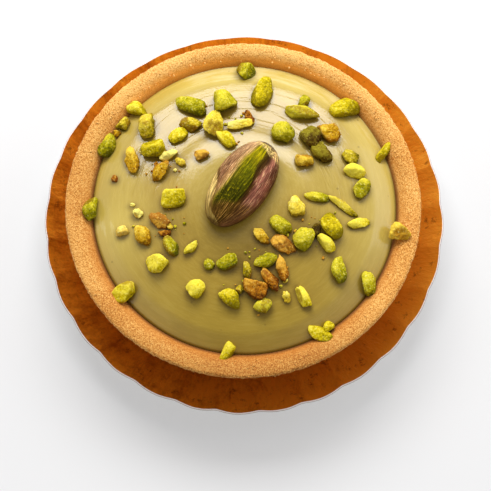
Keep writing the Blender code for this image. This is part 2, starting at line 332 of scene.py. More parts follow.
def fluteShape(bearing, along):
    # Rounded lobes with sharper valleys, sqrt(cos^2), uneven by slow noise, growing up the wall.
    ring = ringPoints(1, 0, bearing)
    drift = 0.6 * fractalNoise(ring, 0.5, 11, 2)
    uneven = 1 + 0.35 * fractalNoise(ring + 5, 0.3, 12, 2)
    phase = 0.5 * (case["flutes"] * (bearing - case["turn"]) + drift)
    lobe = 2 * np.sqrt(np.cos(phase) ** 2 + 0.02) - 1.12
    return case["fluteDepth"] * lobe * uneven * along**0.8


def makeCase():
    # Up the inside of the wall and down its outside: foot + along * (run, rise) + offset * normal. The edge
    # goes over the rim in five rings.
    bearing = bearings(case["flutes"] * case["stepsPerFlute"])
    half = 0.5 * case["thickness"]
    footHeight = half + case["footRise"]
    run = case["rimRadius"] - case["footRadius"]
    rise = case["rimHeight"] - half - footHeight
    slope = math.atan2(rise, run)
    bentOut = case["spread"] * np.clip(np.cos(bearing - case["spreadBearing"]), 0, 1)

    def wallRing(along, offset):
        crease = np.stack([bearing * 6, along * 2 + 0 * bearing, 0 * bearing], axis=-1)
        dents = case["dents"] * along * fractalNoise(crease, 0.35, 21, 3)
        away = offset + case["bulge"] * math.sin(math.pi * along) + fluteShape(bearing, along) + dents
        radius = case["footRadius"] + (run + bentOut) * along + away * math.sin(slope)
        return ringPoints(radius, footHeight + rise * along - away * math.cos(slope), bearing)

    def flatRings(height, radii):
        return [ringPoints(radius, height, bearing) for radius in radii]

    rows = case["rows"]
    floor = flatRings(case["thickness"], np.linspace(2 * mm, case["floorRadius"], rows["floor"]))
    inside = [wallRing(along, -half) for along in np.linspace(0, 0.995, rows["inside"])]
    edge = [wallRing(1.0, offset) for offset in np.array([-1, -0.9, 0.2, 0.6, 1]) * half]
    outside = [wallRing(along, half) for along in np.linspace(0.99, 0, rows["outside"])]
    under = flatRings(0.0, np.linspace(case["floorRadius"], 2 * mm, rows["under"]))
    card = np.repeat([0.0, 0.5, 0.75, 1.0], [len(floor + inside), 3, 2, len(outside + under)])
    along = np.concatenate([np.zeros(rows["floor"]), np.linspace(0, 1, rows["inside"]), np.ones(len(edge)),
                            np.linspace(1, 0, rows["outside"]), np.zeros(rows["under"])])
    lobe = fluteShape(bearing, along[:, None]) / case["fluteDepth"]
    rings = np.array(floor + inside + edge + outside + under)
    piece = ringPiece("foilCase", rings, (0, 0, case["thickness"]), (0, 0, 0), card=card[:, None],
                      along=along[:, None], lobe=lobe)
    dressPiece(piece, foilMaterial(), "case", "case")


def foilMaterial():
    # The card attribute is 0 on the foil, 0.5 on the pale cut edge, 0.75 on a line of painted shade
    # along the edge's outer corner and 1 on the card under it. Creases run up the wall, painted shade
    # darkens the valleys between the flutes, small wrinkles are dark, and painted light and a painted
    # sheen brighten the right side.
    material, tree, shader = newMaterial("copperFoil", specularIorLevel=0.5)
    place = objectPlace(tree)
    card = attributeNode(tree, "card")
    rise = joinPlace(0.0, 0.0, times(attributeNode(tree, "along"), 0.12))
    onWall = calculate("ADD", polarPlace(tree, 1 * mm)[2], rise, kind="VectorMath")
    crease = noiseNode(onWall, 34.0, 4.0, 0.62)
    blotch = noiseNode(place, 260.0, 4.0, 0.62)
    fibre = noiseNode(place, 1700.0, 3.0, 0.6)
    wrinkle = noiseNode(place, 420.0, 6.0, 0.72)
    x = splitPlace(place)[0]
    tone = blend(0.25, blend(0.45, crease, blotch), fibre)
    # Painted shade: darker in the valleys between the flutes, lighter on their lobes.
    tone = plus(tone, times(attributeNode(tree, "lobe"), 0.07))
    # Painted light: brighter towards the right.
    tone = plus(tone, spread(x, -40 * mm, 40 * mm, -0.04, 0.10))
    foil = rampNode(tone, [(0.33, case["foilDeep"]), (0.56, case["foil"])])
    # The dark stops on the card are painted shade along the cut edge's outer corner.
    paper = rampNode(card, [(0.55, case["cutEdge"]), (0.7, case["edgeCornerShade"]), (0.8, case["edgeCornerShade"]),
                            (0.95, case["card"])])
    bare = calculate("GREATER_THAN", card, 0.25)
    # A painted sheen on the right side, then the dark wrinkles and the bare card.
    colour = layColours(foil, (spread(x, 12 * mm, 38 * mm, 0.0, 0.6), case["foilSheen"]),
                        (spread(wrinkle, 0.43, 0.33, 0.0, 0.6), case["foilDark"]), (bare, paper))
    metal = times(minus(1.0, bare), 0.75)
    rough = plus(times(fibre, 0.25), plus(times(bare, 0.4), 0.22))
    normal = None
    bumps = ((fibre, 0.35, 0.06), (crease, 0.5, 0.5), (blotch, 0.3, 0.25), (wrinkle, 0.4, 0.25))
    for height, strength, depth in bumps:
        normal = addBump(height, strength, depth * mm, normal)
    feedShader(tree, shader, baseColor=colour, metallic=metal, roughness=rough, normal=normal)
    return material


makeCase()

# Crust: a turned shell of sandy shortcrust, its hollow a little off the middle and out of round.
crust = dict(radius=35.0 * mm, footRadius=27.4 * mm, bottom=0.9 * mm, edge=17.0 * mm, crown=17.7 * mm,
             crownRadius=34.2 * mm, hollow=30.2 * mm, creamEdge=15.6 * mm, floor=5.0 * mm,
             pressedIn=0.45 * mm, shift=(0.30 * mm, 0.45 * mm), oval=0.15 * mm, columns=720, sideRows=42,
             crownRows=26, rollRows=39, wave=0.13 * mm, lumps=0.05 * mm, grain=0.04 * mm, ragged=0.16 * mm,
             gold=(0.68, 0.285, 0.046), deep=(0.42, 0.14, 0.018), pale=(0.96, 0.56, 0.17),
             # Next rows: a brown of painted shade for the inner roll and the low side, an orange of painted
             # light for the roll at the back, a painted shadow line, and painted shade tints for front and
             # left.
             shadeBrown=(0.52, 0.16, 0.016), glow=(1.0, 0.37, 0.04), line=(0.17, 0.055, 0.008),
             frontShade=(0.69, 0.62, 0.51), leftShade=(0.86, 0.83, 0.78))


def hollowShift(bearing):
    # Moved sideways by (a, b), and oval: a cos + b sin - c cos 2.
    a, b = crust["shift"]
    return a * np.cos(bearing) + b * np.sin(bearing) - crust["oval"] * np.cos(2 * bearing)


def pressedIn(bearing):
    # The crust's outside stands in at the back, by sin^1.5.
    return crust["pressedIn"] * np.clip(np.sin(bearing), 0, 1) ** 1.5


def crustProfile():
    # Rows of radius and height: a straight flared side, then crown = (cos^0.7, sin^0.8) of a quarter turn.
    c = crust
    foot = [(c["footRadius"] - 0.9 * mm, c["bottom"]), (c["footRadius"] - 0.2 * mm, c["bottom"] + 0.2 * mm)]
    top = (c["radius"] - 0.3 * mm, c["edge"] - 0.8 * mm)
    side = np.linspace((c["footRadius"], c["bottom"] + 0.7 * mm), top, c["sideRows"])
    turn = np.linspace(0, math.pi / 2, c["crownRows"])
    across = np.clip(np.cos(turn), 0, 1) ** 0.7
    crown = np.stack([c["crownRadius"] + (c["radius"] - c["crownRadius"]) * across,
                      c["edge"] + (c["crown"] - c["edge"]) * np.sin(turn) ** 0.8], axis=1)
    return np.concatenate([foot, side, crown])


def rollHeight(share):
    # From the crown (0) down to the cream (1), as share^2.2.
    return crust["crown"] - (crust["crown"] - crust["creamEdge"]) * share**2.2


def hollowWall(floor):
    # Rows of depth in from the hollow's edge and of height, from its straight wall round to its floor.
    return np.array([[1.6 * mm, 11.5 * mm], [3.5 * mm, floor + 1.2 * mm], [4.8 * mm, floor]])


def makeCrust():
    # Up the side, over the crown, down the inner roll and into the hollow. The relief is moved along the
    # normals: slow waves, lumps, grains, and a ragged brow on the outer edge; none under the cream.
    c = crust
    bearing = bearings(c["columns"])
    profile = crustProfile()
    hollow = c["hollow"] + hollowShift(bearing)
    share = np.linspace(0, 1, c["rollRows"] + 1)[1:, None]
    crown = c["crownRadius"] - pressedIn(bearing)
    roll = ringPoints(crown + (hollow - crown) * share, rollHeight(share), bearing)
    wall = hollowWall(c["floor"])
    inside = ringPoints(hollow - wall[:, :1], wall[:, 1:], bearing)
    leanIn = pressedIn(bearing) * profile[:, 1:] / c["crown"]
    rings = np.concatenate([ringPoints(profile[:, :1] - leanIn, profile[:, 1:], bearing), roll, inside])
    outward = gridNormals(rings)
    onSide = len(profile) // 3
    outward *= np.sign((outward[onSide, 0] * (rings[onSide, 0] - (0, 0, c["crown"]))).sum())
    radius = np.hypot(rings[..., 0], rings[..., 1]) + pressedIn(bearing)
    wave = c["wave"] * fractalNoise(rings * (1, 1, 0.3), 10 * mm, 31, 2)
    lump = c["lumps"] * fractalNoise(rings, 1.6 * mm, 32, 3)
    grain = c["grain"] * latticeNoise(rings, 0.4 * mm, 33)
    brow = bell((rings[..., 2] - c["edge"] - 0.2 * mm) / (0.6 * mm))
    brow = brow * smoothStep(34.2 * mm, 34.7 * mm, radius)
    ragged = c["ragged"] * brow * np.clip(latticeNoise(rings, 0.6 * mm, 34), -0.4, 1)
    rollStart, rollEnd = len(profile), len(profile) + c["rollRows"]
    shown, down = np.ones(rings.shape[:2]), np.zeros(rings.shape[:2])
    shown[rollStart:rollEnd], down[rollStart:rollEnd] = np.clip((1 - share) * 6, 0, 1), share
    shown[rollEnd:], down[rollEnd:] = 0, 1
    rings = rings + outward * ((wave + lump + grain + ragged) * shown)[..., None]
    piece = ringPiece("pastryShell", rings, (0, 0, c["bottom"]), (0, 0, c["floor"]), down=down)
    dressPiece(piece, pastryMaterial("shortcrust", 0.0), "crust", "crust")


def pastryMaterial(name, lift):
    # Sandy golden brown: fine grains and slow patches of bake. Painted light makes the back paler and
    # painted shade the front and left browner; painted shade browns the inner roll, orange by painted
    # light at the back, down to a painted shadow line beside the cream, and darkens it low on the side.
    material, tree, shader = newMaterial(name, roughness=0.75, specularIorLevel=0.25)
    place = objectPlace(tree)
    tone, height = grainNode(place, fineScale=5200.0, coarseScale=2600.0, fineShare=0.55, contrast=3.6)
    bake = noiseNode(place, 140.0, 3.0)
    x, y, z = splitPlace(place)
    down = attributeNode(tree, "down")
    level = plus(plus(tone, 0.5), swing(bake, 0.7))
    # Painted light: paler towards the back.
    level = plus(level, spread(y, 0.0, 34 * mm, lift, lift + 0.28))
    grain = rampNode(level, [(0.0, crust["deep"]), (0.46, crust["gold"]), (0.95, crust["pale"])])
    # Painted shade: browner towards the front and the left.
    grain = mixColour(spread(y, -14 * mm, -36 * mm), grain, crust["frontShade"], "MULTIPLY")
    grain = mixColour(spread(x, -18 * mm, -36 * mm), grain, crust["leftShade"], "MULTIPLY")
    # Painted shade browns the inner roll, less in the middle; at the back painted light turns it orange.
    brown = mixColour(spread(y, 12 * mm, 28 * mm), crust["shadeBrown"], crust["glow"])
    rollShadeShare = plus(spread(y, -10 * mm, 4 * mm, 1.0, 0.4), spread(y, 12 * mm, 28 * mm, 0.0, 1.1))
    # A painted shadow line beside the cream, darker towards the front.
    line = times(spread(down, 0.80, 1.0), spread(y, 26 * mm, -2 * mm, 0.3, 0.95))
    # Layers: the roll's painted shade and light, painted shade low on the side, the painted shadow line.
    colour = layColours(grain, (times(spread(down, 0.35, 0.9, 0.0, 0.55), rollShadeShare), brown),
                        (spread(z, 16.2 * mm, 10.0 * mm, 0.0, 0.5), crust["shadeBrown"]), (line, crust["line"]))
    feedShader(tree, shader, baseColor=colour, normal=addBump(height, 0.6, 0.25 * mm))
    return material


makeCrust()


# Small irregular grains, joined in one mesh.
def grainMesh(name, places, sizes, seed, **values):
    # Every grain is a 4 by 6 ball, stretched and dented by its own seeded numbers.
    draw = np.random.default_rng(seed)
    count = len(places)
    polar = np.linspace(0, math.pi, 6)[1:-1, None]
    ball = ringPoints(np.sin(polar), np.cos(polar), bearings(6))
    rows, columns = ball.shape[:2]
    stretch = draw.uniform(0.6, 1.35, (count, 1, 3))
    dents = draw.uniform(0.75, 1.15, (count, rows * columns, 1))
    body = ball.reshape(1, -1, 3) * dents * stretch
    tips = np.array([[[0, 0, 1.0], [0, 0, -1.0]]]) * stretch
    turn = np.linalg.qr(draw.normal(size=(count, 3, 3)))[0]
    turn *= np.sign(np.linalg.det(turn))[:, None, None]
    points = np.einsum("nvi,nij->nvj", np.concatenate([body, tips], axis=1), turn)
    points = places[:, None] + points * 0.5 * np.asarray(sizes)[:, None, None]
    offset = (np.arange(count) * (rows * columns + 2))[:, None, None]
    quads, triangles = ((faces + offset).reshape(-1, faces.shape[1]) for faces in ringFaces(rows, columns))
    padded = {label: np.repeat(array, rows * columns + 2) for label, array in values.items()}
    return meshPiece(name, points.reshape(-1, 3), quads, triangles, padded)


crumbs = dict(edgeCount=1300, crownCount=350, size=(0.25 * mm, 0.5 * mm), seed=71)


def makeCrustCrumbs():
    # Grains along the crisp outer edge, and a thinner dusting over the crown.
    draw = np.random.default_rng(crumbs["seed"])
    crown = crustProfile()[-crust["crownRows"]:]
    onEdge = crown[draw.integers(0, 12, crumbs["edgeCount"])]
    share = draw.uniform(0, 0.7, crumbs["crownCount"])
    width = crust["crownRadius"] - crust["hollow"]
    onCrown = np.stack([crust["crownRadius"] - width * share, rollHeight(share)], axis=1)
    spot = np.concatenate([onEdge, onCrown])
    bearing = draw.uniform(0, fullTurn, len(spot))
    sizes = draw.uniform(*crumbs["size"], len(spot)) * draw.uniform(0.6, 1, len(spot))
    places = ringPoints(spot[:, 0] - 0.08 * mm - pressedIn(bearing), spot[:, 1] - 0.04 * mm, bearing)
    piece = grainMesh("crustCrumbs", places, sizes, crumbs["seed"] + 1, down=np.zeros(len(spot)))
    dressPiece(piece, pastryMaterial("looseCrumbs", 0.25), "crust", "crust")


makeCrustCrumbs()

# Chopped nuts by kind: x, y, length and width in mm, turn in degrees and how much lighter, in hundredths.
scatter = {
    "lime": [(-21.1, 20.5, 4.4, 3.1, -35, -15), (20.3, 20.4, 6.2, 4.1, 25, -25),
             (27.8, 11.5, 4.5, 1.8, 60, -25), (-22.9, -17.5, 5.0, 3.7, 20, 0),
             (-3.0, -29.3, 4.7, 2.2, 60, 0), (14.9, -25.8, 5.2, 2.5, -30, -10),
             (16.7, -24.5, 2.7, 2.0, 60, -25), (-17.4, 11.2, 4.7, 4.2, 5, -20),
             (-12.7, 13.9, 4.0, 2.5, 30, -10), (3.5, 23.2, 6.4, 4.0, 80, -15),
             (-3.6, 13.2, 4.7, 2.6, -50, 0), (21.7, 6.7, 4.0, 2.7, -15, 40), (-13.7, 0.6, 5.1, 3.9, 10, 0),
             (-16.6, -12.1, 4.4, 4.1, 30, 20), (-10.3, -9.6, 3.5, 1.8, 60, 20),
             (-9.3, -17.8, 4.0, 3.1, 40, 15), (17.3, -5.0, 5.4, 4.0, -80, -25),
             (16.1, -8.6, 4.3, 2.8, -50, 25), (-2.6, -19.3, 4.9, 2.8, -45, -20),
             (11.6, -19.2, 5.3, 2.0, -60, 35), (22.6, -4.0, 4.3, 1.9, 10, 30)],
    "green": [(-27.3, 13.0, 4.8, 3.4, 75, -10), (0.4, 28.3, 3.9, 3.7, 0, -10),
              (-30.2, -0.1, 4.6, 3.6, 90, -10), (24.2, -15.8, 4.8, 3.0, -80, 10),
              (-10.1, 20.3, 6.6, 3.3, -30, -5), (-4.0, 20.7, 5.2, 4.7, -20, 5),
              (11.4, 18.8, 6.3, 3.3, -15, 40), (12.2, 21.4, 2.9, 2.4, 60, -15),
              (7.8, 14.1, 4.6, 3.9, -25, 0), (23.2, 3.2, 4.1, 3.2, 80, 0), (14.7, 1.1, 4.9, 1.9, -5, 5),
              (-14.0, -9.1, 3.9, 2.4, -60, -10), (7.1, -5.1, 4.6, 3.5, -20, 0),
              (11.8, -7.5, 4.8, 4.0, 80, 5), (4.5, -12.0, 4.2, 2.7, 25, -10),
              (-2.8, -12.6, 4.5, 2.9, 10, -15), (-6.7, -12.9, 2.0, 2.1, 0, -5),
              (3.9, -21.2, 3.4, 3.1, 0, 20), (18.7, -13.9, 4.8, 3.2, 85, -10)],
    "olive": [(-23.9, 17.5, 3.1, 2.6, 60, -10), (-18.8, 16.1, 5.0, 4.0, 80, 0),
              (-10.1, 16.0, 4.4, 2.7, -15, -10), (-5.8, 16.0, 5.8, 3.6, 75, 15),
              (21.1, 9.8, 3.2, 2.6, -40, -10), (19.5, -0.7, 6.2, 1.8, -35, 40),
              (0.7, -14.3, 3.3, 1.6, -80, -20), (-0.6, -17.9, 1.6, 1.7, 0, -5)],
    "golden": [(-25.1, 15.7, 1.6, 1.2, 0, -20), (31.1, -5.7, 3.9, 3.9, 0, 35),
               (12.0, 8.4, 3.6, 3.1, -30, 10), (16.9, 14.9, 5.1, 3.4, -45, -10),
               (-19.6, -6.7, 3.9, 2.6, -60, 0), (3.5, -7.3, 3.8, 2.2, -40, 5),
               (-21.9, 9.0, 5.5, 3.2, -60, 5), (-16.0, 6.5, 4.1, 2.8, 60, -15)],
    "brown": [(-25.3, 5.4, 1.2, 1.2, 0, 0), (-8.1, 9.5, 3.0, 2.3, -10, 40),
              (1.3, 17.8, 2.7, 1.8, -60, -35), (-16.2, -4.1, 4.0, 2.5, -35, 40),
              (-15.2, -6.5, 2.8, 1.2, 0, -30), (8.0, -9.1, 5.0, 2.7, -25, 40),
              (7.5, -13.5, 4.8, 2.2, -75, 10), (5.5, -16.1, 4.9, 2.4, -50, -20),
              (2.7, -17.8, 5.4, 3.7, -40, -15)],
    "pale": [(-14.6, 9.7, 3.4, 2.3, 15, 40), (-12.3, 8.4, 2.2, 1.6, -50, -30),
             (-19.8, 10.7, 1.4, 1.0, 0, 40), (-0.6, 16.0, 4.9, 2.3, 10, -5),
             (-20.8, -2.3, 2.0, 1.9, 0, 40), (-21.7, -0.3, 1.0, 0.8, 0, 40),
             (-14.6, -4.9, 1.8, 1.2, -40, -35), (-23.7, -5.6, 2.2, 2.1, 0, 40),
             (10.6, -1.5, 4.3, 2.8, -75, -30), (8.4, -19.3, 2.5, 1.4, -75, -30),
             (-13.3, 6.5, 0.8, 0.8, 0, 40), (8.2, -16.1, 1.0, 0.8, 0, -10)],
    "dark": [(13.3, 13.4, 4.3, 3.7, -60, 5), (15.4, 10.4, 4.4, 3.3, -50, 5),
             (14.4, -6.0, 2.5, 2.0, 80, -35)],
}

# Heaps of the dust of the chopping: x, y and reach in mm, and how much painted shade and dust stain darken
# the cream under them; the kernel's painted shadow darkens the hollow before it.
heaps = ((2.5, -14.5, 5.0, 0.42), (-15.5, -5.0, 3.6, 0.45), (12.5, -6.5, 4.2, 0.4), (-15.5, 8.5, 3.0, 0.25),
         (-3.0, 16.5, 3.0, 0.0))
kernelShadow = (3.0, -9.0, 4.0, 0.35)

# Whole kernel and cream; the kernel's sizes come first, because the cream is dented under it.
kernel = dict(length=19.6 * mm, width=10.9 * mm, height=9.4 * mm, place=(-0.3 * mm, 2.8 * mm),
              turn=math.radians(56), level=22.67 * mm, rows=180, columns=260, wrinkle=0.12 * mm,
              lumps=0.20 * mm, groove=0.25 * mm)
cream = dict(radius=30.15 * mm, domeRadius=29.9 * mm, edge=15.6 * mm, shoulderRadius=26.2 * mm,
             shoulderRise=1.1 * mm, crease=0.25 * mm, rise=4.2 * mm, power=2.5, floor=5.3 * mm, columns=560,
             lip=0.45 * mm, lipWidth=0.5 * mm, pitch=6.4 * mm, depth=0.03 * mm, streak=0.01 * mm,
             furrow=0.085 * mm, furrowRadius=14.4 * mm, furrowWidth=1.7 * mm,
             white=(0.64, 0.52, 0.20), pale=(0.55, 0.41, 0.084), middle=(0.37, 0.245, 0.031),
             # Last colour: darkens for painted shadow and dust stain.
             deep=(0.20, 0.125, 0.015), fleck=(0.16, 0.10, 0.015), stain=(0.10, 0.055, 0.005))


def creamDome(x, y):
    # A dome that falls as radius^power, on a shoulder that starts at a rounded crease: the soft minimum of
    # the shoulder's slope and its full height.
    radius = np.hypot(x, y)
    share = radius / cream["domeRadius"]
    slope = (cream["domeRadius"] - radius) / (cream["domeRadius"] - cream["shoulderRadius"])
    soft = cream["crease"] / (cream["domeRadius"] - cream["shoulderRadius"])
    shoulder = 1 - soft * np.logaddexp(0, (1 - slope) / soft)
    return cream["edge"] + cream["shoulderRise"] * shoulder + cream["rise"] * (1 - share ** cream["power"])


def knifeMarks(x, y):
    # Spiral bands from the palette knife, with fine streaks that follow them, and one round furrow.
    radius, bearing = np.hypot(x, y), np.arctan2(y, x)
    share = radius / cream["domeRadius"]
    fade = smoothStep(0, 0.33, share) * smoothStep(0.95, 0.86, share)
    fade = fade * (1 - 0.55 * smoothStep(0.55, 0.72, share))
    drift = latticeNoise(np.stack([x, y, 0 * x], axis=-1), 14 * mm, 41)
    band = np.cos(fullTurn * radius / cream["pitch"] + bearing + 1.2 * drift)
    streakPlace = np.stack([radius / (0.8 * mm), 3 * np.cos(bearing), 3 * np.sin(bearing)], axis=-1)
    furrow = cream["furrow"] * bell((radius - cream["furrowRadius"]) / cream["furrowWidth"])
    return fade * (cream["depth"] * band + cream["streak"] * fractalNoise(streakPlace, 1.0, 42, 3)) - furrow


def kernelGirth(along):
    # Half-width share along the kernel: (1 - along^2)^0.46, a touch fuller towards its far end.
    return np.clip(1 - along**2, 0, 1) ** 0.46 * (1 + 0.03 * along)


def kernelLocal(x, y):
    # Place in the kernel's own frame: along from -1 to 1, and across in metres.
    dx, dy = x - kernel["place"][0], y - kernel["place"][1]
    along = (dx * math.cos(kernel["turn"]) + dy * math.sin(kernel["turn"])) / (0.5 * kernel["length"])
    across = -dx * math.sin(kernel["turn"]) + dy * math.cos(kernel["turn"])
    return along, across


def creamHeight(x, y):
    return creamDome(x, y) + knifeMarks(x, y)


def underKernel(x, y):
    # Height of the kernel's underside, and very high outside its outline.
    along, across = kernelLocal(x, y)
    girth = kernelGirth(np.clip(along, -1, 1))
    share = across / np.maximum(0.5 * kernel["width"] * girth, 1e-9)
    depth = 0.5 * kernel["height"] * girth * np.sqrt(np.clip(1 - share**2, 0, 1))
    inside = (np.abs(share) < 1) & (np.abs(along) < 1)
    return np.where(inside, kernel["level"] - depth, 1.0)


def creamLightAndShade(x, y):
    # Painted light and shade: paler towards the back, the sides and the rim, whiter at the back rim by a
    # painted sheen, and a painted shadow in a ring before the kernel; also darker at the left.
    x, y = x / cream["domeRadius"], y / cream["domeRadius"]
    share = np.hypot(x, y)
    lift = smoothStep(-0.25, 0.35, y + 0.5 * share) * (0.45 + 0.55 * smoothStep(0.6, 0.9, share - 0.12 * x))
    lift = lift - 0.40 * smoothStep(0.35, 0.6, y) * smoothStep(0.92, 0.84, share)
    ring = smoothStep(0.62, 0.4, share) * smoothStep(0.12, 0.3, share)
    tone = 0.4 + 0.6 * lift - 0.25 * ring * smoothStep(0.15, -0.35, y)
    tone = tone - 0.28 * smoothStep(-0.3, -0.6, x) * smoothStep(-0.15, 0.15, y)
    return 0.9 * tone + 0.07 * smoothStep(0.86, 0.94, share) * smoothStep(0.2, 0.7, y)


def creamShadowAndStain(x, y, inward):
    # Painted contact shadow around every chopped nut on the cream and around the kernel, most on their front
    # side, by exp(-(d / reach)^2) of the distance from their outline; a soft patch of painted shade and dust
    # stain under every heap, and a painted shadow before the kernel; and a thin painted shadow line along
    # the crust, darker at the front.
    clear = np.ones(x.shape)
    onCream = [nut for nut in sum(scatter.values(), []) if math.hypot(*nut[:2]) < 29]
    for nutX, nutY, length, width, turn, _ in onCream:
        turn = math.radians(turn)
        dx, dy = x - nutX * mm, y - nutY * mm + 0.3 * mm
        along = (dx * math.cos(turn) + dy * math.sin(turn)) / (0.5 * length * mm)
        across = (dy * math.cos(turn) - dx * math.sin(turn)) / (0.5 * width * mm)
        away = np.maximum(np.hypot(along, across) - 0.85, 0) * 0.5 * math.sqrt(length * width) * mm
        clear = clear * (1 - 0.75 * bell(away / (0.7 * mm)))
    # Painted contact shadow around the kernel.
    along, across = kernelLocal(x, y + 0.7 * mm)
    away = np.maximum(np.hypot(along, across / (0.5 * kernel["width"])) - 0.95, 0) * 6 * mm
    clear = clear * (1 - 0.3 * bell(away / (0.9 * mm)))
    # Painted shade and dust stain under the heaps, and the kernel's painted shadow before it.
    for heapX, heapY, reach, depth in (*heaps, kernelShadow):
        away = np.hypot(x - heapX * mm, y - heapY * mm)
        clear = clear * (1 - depth * bell(away / (reach * mm)))
    # Painted shadow line along the crust, darker towards the front.
    front = 0.25 + 0.75 * smoothStep(24 * mm, -4 * mm, y)
    return 1 - clear * (1 - 0.75 * front * bell(inward / (0.45 * mm)))


def makeCream():
    # The hollow's wall, then the dome out to it with a small rounded lip, dented under the kernel.
    bearing = bearings(cream["columns"])
    wall = hollowWall(cream["floor"])[::-1]
    shares = np.concatenate([1 - 0.02 * np.linspace(0, 1, 9) ** 1.5, np.linspace(0.98, 0.01, 160)[1:]])
    outer = cream["radius"] + hollowShift(bearing)
    radius = np.concatenate([outer - wall[:, :1], outer * shares[:, None]])
    x, y = radius * np.cos(bearing), radius * np.sin(bearing)
    inward = np.clip((outer - radius) / cream["lipWidth"], 0, 1)
    height = creamHeight(x, y) - cream["lip"] * (1 - np.sqrt(1 - (1 - inward) ** 2))
    height = np.minimum(height, underKernel(x, y) - 0.05 * mm)
    height[:len(wall)] = wall[:, 1:]
    top = (0, 0, min(float(creamHeight(0.0, 0.0)), float(underKernel(0.0, 0.0)) - 0.05 * mm))
    piece = ringPiece("pistachioCream", np.stack([x, y, height], axis=-1), (0, 0, cream["floor"]), top,
                      tone=creamLightAndShade(x, y), stain=creamShadowAndStain(x, y, outer - radius))
    dressPiece(piece, creamMaterial(), "cream", "cream")


def creamScratches(tree):
    # Thin long scratches behind the kernel, where a noise on radius and direction crosses its mean.
    place, radius, _ = polarPlace(tree, 2.2 * mm)
    y = splitPlace(objectPlace(tree))[1]
    away = calculate("ABSOLUTE", minus(noiseNode(place, 1.0, 2.0, 0.4), 0.5))
    where = times(spread(radius, 15 * mm, 18 * mm), spread(radius, 26 * mm, 22 * mm, 0.2, 1.0))
    where = times(where, spread(y, -4 * mm, 4 * mm))
    return times(spread(away, 0.0, 0.035, 1.0, 0.0), where)


def creamMaterial():
    # Glossy nut cream: its tone attribute of painted light and shade, its attribute of painted shadow
    # and dust stain, a slow drift, streaks along the knife marks, a few dark flecks in the middle of
    # Voronoi cells, and the scratches.
    material, tree, shader = newMaterial("nutCream", specularIorLevel=0.2, coatWeight=0.75,
                                         coatRoughness=0.06)
    place = objectPlace(tree)
    drift = noiseNode(place, 90.0, 3.0)
    streak = noiseNode(polarPlace(tree, 3.2 * mm)[0], 4.0, 6.0, 0.75)
    level = plus(attributeNode(tree, "tone"), swing(blend(0.6, drift, streak), 0.72))
    colour = rampNode(level, [(0.0, cream["deep"]), (0.36, cream["middle"]), (0.9, cream["pale"]),
                              (1.0, cream["white"])])
    cells = addNode(tree, "TexVoronoi", [("Vector", place), ("Scale", 700.0)]).outputs
    dot = calculate("LESS_THAN", cells["Distance"], 0.17)
    number = addNode(tree, "SeparateColor", [(0, cells["Color"])]).outputs[0]
    fleck = times(times(dot, calculate("GREATER_THAN", number, 0.94)), 0.4)
    scratch = creamScratches(tree)
    # Layers: dark flecks, painted shadow with dust stain, and the scratches.
    colour = layColours(colour, (fleck, cream["fleck"]),
                        (times(attributeNode(tree, "stain"), 0.7), cream["stain"]),
                        (times(scratch, 0.06), cream["fleck"]))
    rough = plus(times(streak, 0.25), 0.14)
    normal = addBump(noiseNode(place, 1500.0), 0.04, 0.1 * mm)
    normal = addBump(streak, 0.25, 0.12 * mm, normal)
    normal = addBump(minus(1.0, scratch), 0.6, 0.05 * mm, normal)
    feedShader(tree, shader, baseColor=colour, roughness=rough, normal=normal, coatNormal=normal)
    return material


makeCream()

# Borders on the kernel as (along, across) shares, joined by smooth curves: the crease beside the purple
# skin, the flesh's other border beside the tan skin, and the inner border of the pale husk rim.
creaseLine = ((-1.0, -0.1), (-0.84, -0.28), (-0.6, -0.38), (-0.4, -0.44), (-0.2, -0.48), (0.0, -0.48),
              (0.14, -0.41), (0.32, -0.34), (0.6, -0.38), (0.77, -0.32), (1.0, -0.2))
fleshLine = ((-1.0, 0.0), (-0.88, 0.22), (-0.75, 0.42), (-0.6, 0.5), (-0.5, 0.46), (-0.42, 0.4),
             (-0.3, 0.37), (-0.12, 0.33), (0.11, 0.3), (0.35, 0.35), (0.61, 0.24), (0.75, 0.22), (1.0, 0.1))
huskLine = ((-1.0, -0.45), (-0.96, -0.18), (-0.91, 0.13), (-0.79, 0.37), (-0.64, 0.47), (-0.48, 0.54),
            (-0.33, 0.64), (-0.2, 0.77), (-0.05, 0.92), (0.1, 1.06), (1.0, 1.4))


def smoothLine(line, along):
    # A mean of the straight-edged line over 0.16 of its length, which rounds its corners.
    return np.mean([np.interp(along + step, *zip(*line)) for step in np.linspace(-0.08, 0.08, 9)], axis=0)


